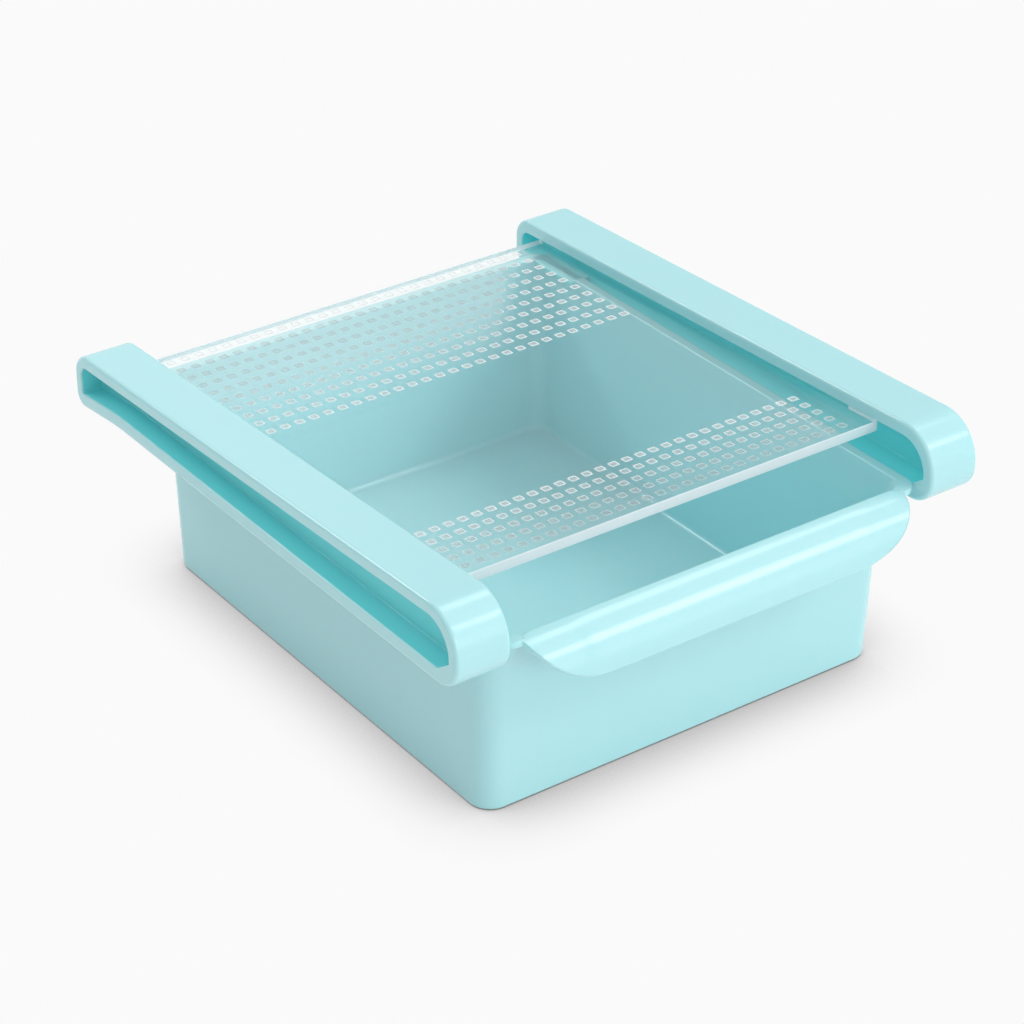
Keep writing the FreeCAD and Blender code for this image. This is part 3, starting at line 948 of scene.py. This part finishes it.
def repeat(part, centres):
    """The same closed mesh at every centre, turned on to the slope of the panel."""
    points, faces = part
    copies = on_slope(points[None] + centres[:, None, :]).reshape(-1, 3)
    shifts = np.arange(len(centres)) * len(points)
    return copies, [tuple(index + shift for index in face)
                    for shift in shifts.tolist() for face in faces]


# %% Put the panel together
panel = make_object("clear_sheet", panel_part(), clear)
ring, pad = ring_part(), stack_mesh(square_rings(PAD_LEVELS))
centres = square_centres()
pattern = join(repeat(ring, centres), repeat(pad, centres))
squares = make_object("square_pattern", pattern, pearl, smooth_angle=60)
reflection_and_frost = make_object("frost_and_reflection_skin", frost_and_reflection_part(), frost_and_reflection)
print(len(centres), "squares")

# %% [markdown]
# The pads inside the squares have a fainter plastic than the rings. The cut side of the sheet is
# matt where it is seen from the front, and takes the frost and the painted reflection where it lies
# in the rails.

# %% Materials of the pads and of the sheet's sides
FRONT_OF_RAILS = (RAIL_FRONT + 36) * MM           # the sheet's sides are in the open up to here


def set_slots(obj, materials, index):
    """Add materials to an object, and give each face the slot in a list of numbers."""
    for material in materials:
        obj.data.materials.append(material)
    obj.data.polygons.foreach_set("material_index", np.asarray(index, np.int32))


def face_values(obj, name):
    """The normals or centres of an object's faces, as rows of three."""
    values = np.zeros(3 * len(obj.data.polygons), np.float32)
    obj.data.polygons.foreach_get(name, values)
    return values.reshape(-1, 3)


ring_faces, pad_faces = len(ring[1]) * len(centres), len(pad[1]) * len(centres)
set_slots(squares, [pads], np.repeat([0, 1], [ring_faces, pad_faces]))
normals, middles = face_values(panel, "normal"), face_values(panel, "center")
matt = (abs(normals[:, 1]) > 0.5) | (middles[:, 1] < FRONT_OF_RAILS)
on_side = abs(normals[:, 2]) < 0.95
set_slots(panel, [cut_edge, frost_and_reflection], np.where(on_side, np.where(matt, 1, 2), 0))
print(int(on_side.sum()), "faces on the sheet's sides,", int((on_side & matt).sum()), "matt")

for piece in (panel, squares, reflection_and_frost):
    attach(piece, "frame")
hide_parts("shelf_panel")

# %% [markdown]
# ## Floor
# A plain pale floor. To the camera, to mirrors and through clear plastic it glows evenly at the
# tone of the background, so it has no horizon. What hides it close by, such as the bin standing
# on it, darkens that glow: a soft contact shadow. A lit floor with a real shadow could be used,
# but its tone would drift from lamp to lamp. Other light still meets it as a lit surface, so it
# throws soft light up at the object.

# %% Floor
FLOOR_HALF = 6                                    # metres
BACKGROUND = (0.956, 0.956, 0.956)
SHADOW_REACH, SHADOW_POWER, SHADOW_DEPTH = 0.025, 1.5, 1.13

floor_mesh = bpy.data.meshes.new("floor")
floor_mesh.from_pydata([(-FLOOR_HALF, -FLOOR_HALF, 0), (FLOOR_HALF, -FLOOR_HALF, 0),
                        (FLOOR_HALF, FLOOR_HALF, 0), (-FLOOR_HALF, FLOOR_HALF, 0)],
                       [], [(0, 1, 2, 3)])
floor = bpy.data.objects.new("floor", floor_mesh)
bpy.context.scene.collection.objects.link(floor)
pale, tree, shader = new_material("pale_floor")
floor_mesh.materials.append(pale)
shader.inputs["Base Color"].default_value = (0.90, 0.86, 0.86, 1)
shader.inputs["Roughness"].default_value = 0.9
shader.inputs["Specular IOR Level"].default_value = 0.0
contact = tree.nodes.new("ShaderNodeAmbientOcclusion")
contact.samples = 8
contact.inputs["Distance"].default_value = SHADOW_REACH
hidden = combine(tree, "SUBTRACT", 1.0, contact.outputs["AO"])
steeper = combine(tree, "POWER", hidden, SHADOW_POWER)
even_glow = tree.nodes.new("ShaderNodeEmission")
even_glow.inputs["Color"].default_value = (*BACKGROUND, 1)
tree.links.new(between(tree, steeper, 1.0, 1.0 - SHADOW_DEPTH), even_glow.inputs["Strength"])
path = tree.nodes.new("ShaderNodeLightPath")
plain = combine(tree, "MAXIMUM", path.outputs["Is Camera Ray"],
                path.outputs["Is Transmission Ray"])
plain = combine(tree, "MAXIMUM", plain, path.outputs["Is Glossy Ray"])
mixer = tree.nodes.new("ShaderNodeMixShader")
tree.links.new(plain, mixer.inputs["Fac"])
tree.links.new(shader.outputs["BSDF"], mixer.inputs[1])
tree.links.new(even_glow.outputs["Emission"], mixer.inputs[2])
tree.links.new(mixer.outputs["Shader"], tree.nodes["Material Output"].inputs["Surface"])
print("floor of", 2 * FLOOR_HALF, "m")

# %% [markdown]
# ## Studio
# The world is a soft dome that is brighter at the front right. A pale card at the rear shows in
# the left half of the panel as a milky reflection, and an upright strip at the right draws a
# highlight down the round noses of the rails. Cards could be meshes, but in the world they cost
# nothing and throw no shadow.

# %% World
world = bpy.data.worlds.new("studio")
bpy.context.scene.world = world
world.use_nodes = True
tree = world.node_tree
studio = tree.nodes["Background"]
studio.inputs["Color"].default_value = (1.0, 1.0, 1.0, 1)


def facing(direction, start, end, low=0.0, high=1.0):
    """A value that goes from low to high as the view turns towards a direction."""
    view = tree.nodes.new("ShaderNodeTexCoord").outputs["Generated"]
    return smooth_rise(tree, along(tree, view, Vector(direction).normalized()),
                       start, end, low, high)


dome = facing((0.55, -0.50, 0.67), -0.9, 1.0, 0.44, 0.72)
card = combine(tree, "MULTIPLY", facing((0.25, 0.87, 0.42), 0.80, 0.95, 0.0, 0.5),
               facing((-0.848, 0.530, 0.0), -0.035, 0.035))
strip = combine(tree, "MULTIPLY", facing((1, 0, 0), 0.34, 0.44, 0.0, 1.2),
                facing((1, 0, 0), 0.56, 0.66, 1.0, 0.0))
strip = combine(tree, "MULTIPLY", strip, facing((0, -1, 0), -0.35, -0.05))
total = combine(tree, "ADD", combine(tree, "ADD", dome, card), strip)
tree.links.new(total, studio.inputs["Strength"])
print("world has", len(tree.nodes), "nodes")

# %% [markdown]
# ## Softboxes
# Four large lamps aim at the middle of the bin: a key from the front right, a top and a back
# light for the inside and the rims, and a wide low front light for the nearest faces.

# %% Softboxes
AIM = Vector((0, 0, 0.03))


def softbox(name, place, width, height, power):
    """A rectangular lamp at a place in metres, turned to the aim."""
    light = bpy.data.lights.new(name, "AREA")
    light.shape = "RECTANGLE"
    light.size, light.size_y, light.energy = width, height, power
    obj = bpy.data.objects.new(name, light)
    bpy.context.scene.collection.objects.link(obj)
    turned = (AIM - Vector(place)).to_track_quat("-Z", "Y").to_matrix().to_4x4()
    obj.matrix_world = Matrix.Translation(place) @ turned
    print(name, "light of", power, "W")


softbox("key", (0.9, -1.0, 1.1), 0.4, 0.4, 3.2)
softbox("top", (0.75, 0.25, 1.3), 0.4, 0.4, 1.7)
softbox("back", (-0.55, 1.15, 1.05), 0.5, 0.3, 4.2)
softbox("front", (0.2, -1.5, 0.45), 0.8, 0.6, 4.3)

# %% [markdown]
# ## Camera
# The camera stands in front of the left corner and looks down by about thirty degrees. A long
# lens from most of a metre away keeps the edges of the bin nearly parallel, as in a catalogue.

# %% Camera
AZIMUTH, ELEVATION = math.radians(-35.657), math.radians(30.584)
CAMERA_PLACE = Vector((-429.12, RAIL_FRONT - 505.49, 464.32)) * MM
camera_data = bpy.data.cameras.new("camera")
camera_data.sensor_width = 36.0
camera_data.lens = 110.32
camera_data.clip_start, camera_data.clip_end = 0.05, 20
camera = bpy.data.objects.new("camera", camera_data)
bpy.context.scene.collection.objects.link(camera)
back = Vector((math.sin(AZIMUTH) * math.cos(ELEVATION), -math.cos(AZIMUTH) * math.cos(ELEVATION),
               math.sin(ELEVATION)))
right = Vector((0, 0, 1)).cross(back).normalized()
turned = Matrix((right, back.cross(right), back)).transposed().to_4x4()
camera.matrix_world = Matrix.Translation(CAMERA_PLACE) @ turned
bpy.context.scene.camera = camera
bpy.context.scene.view_settings.view_transform = "Standard"
print("camera at", [round(v, 3) for v in CAMERA_PLACE])
